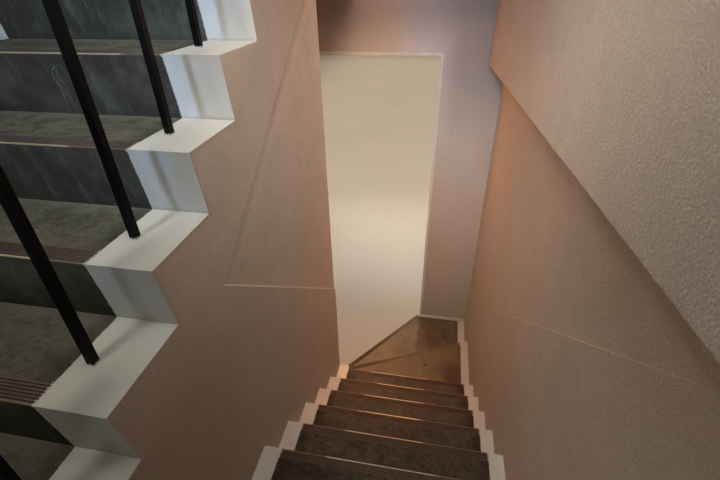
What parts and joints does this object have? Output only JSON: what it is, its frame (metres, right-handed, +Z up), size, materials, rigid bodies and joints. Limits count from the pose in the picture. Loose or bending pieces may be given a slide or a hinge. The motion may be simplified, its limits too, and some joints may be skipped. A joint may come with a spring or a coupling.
{
  "type": "fire escape stair",
  "caption": "Concrete fire escape stair in a walled shaft: flights on each side of a spine wall, half landing, winders at the foot, ribbed nosings and a steel balustrade.",
  "frame": {"origin": "middle of the plan of the stair and its walls, on the lower floor", "axes": "+Z up, +Y from the half landing towards the end wall with the doorway, +X from the upper flight towards the lower flight; X = 0 is the spine wall's face on the lower flight's side"},
  "size_m": [2.48, 4.735, 4.308],
  "materials": {
    "tread": "matt",
    "floor_finish": "matt",
    "winder_concrete": "matt",
    "structural_concrete": "rough",
    "white_paint": "painted",
    "stucco": "textured plaster",
    "end_wall_paint": "painted",
    "nosing": "matt",
    "black_metal": "satin",
    "skirting_paint": "painted"
  },
  "bodies": {
    "root": {"half_landing": "structural_concrete", "lower_waist": "structural_concrete", "upper_waist": "structural_concrete", "top_landing": "structural_concrete", "half_landing_floor": "floor_finish", "top_landing_floor": "floor_finish", "lower_step_1": "tread", "lower_step_2": "tread", "lower_step_3": "tread", "lower_step_4": "tread", "lower_step_5": "tread", "lower_step_6": "tread", "upper_step_1": "tread", "upper_step_2": "tread", "upper_step_3": "tread", "upper_step_4": "tread", "upper_step_5": "tread", "upper_step_6": "tread", "upper_step_7": "tread", "upper_step_8": "tread", "lower_margin_spine": "white_paint", "lower_margin_wall": "white_paint", "winder_margin": "white_paint", "upper_margin": "white_paint", "spine_coat": "white_paint", "winder_step_1": "winder_concrete", "winder_step_2": "winder_concrete", "spine_string": "stucco", "spine_dado": "stucco", "spine_panel": "stucco", "right_wall_dado": "stucco", "right_wall_panel": "stucco", "right_wall_upper": "stucco", "left_wall": "stucco", "end_wall_right": "end_wall_paint", "end_wall_left": "end_wall_paint", "end_wall_header": "end_wall_paint", "end_skirting": "skirting_paint", "doorway_bead": "skirting_paint", "lower_nosings": "nosing", "upper_nosings": "nosing", "winder_nosings": "nosing", "flight_balusters": "black_metal", "landing_balusters": "black_metal", "handrail": "black_metal"}
  },
  "joints": []
}
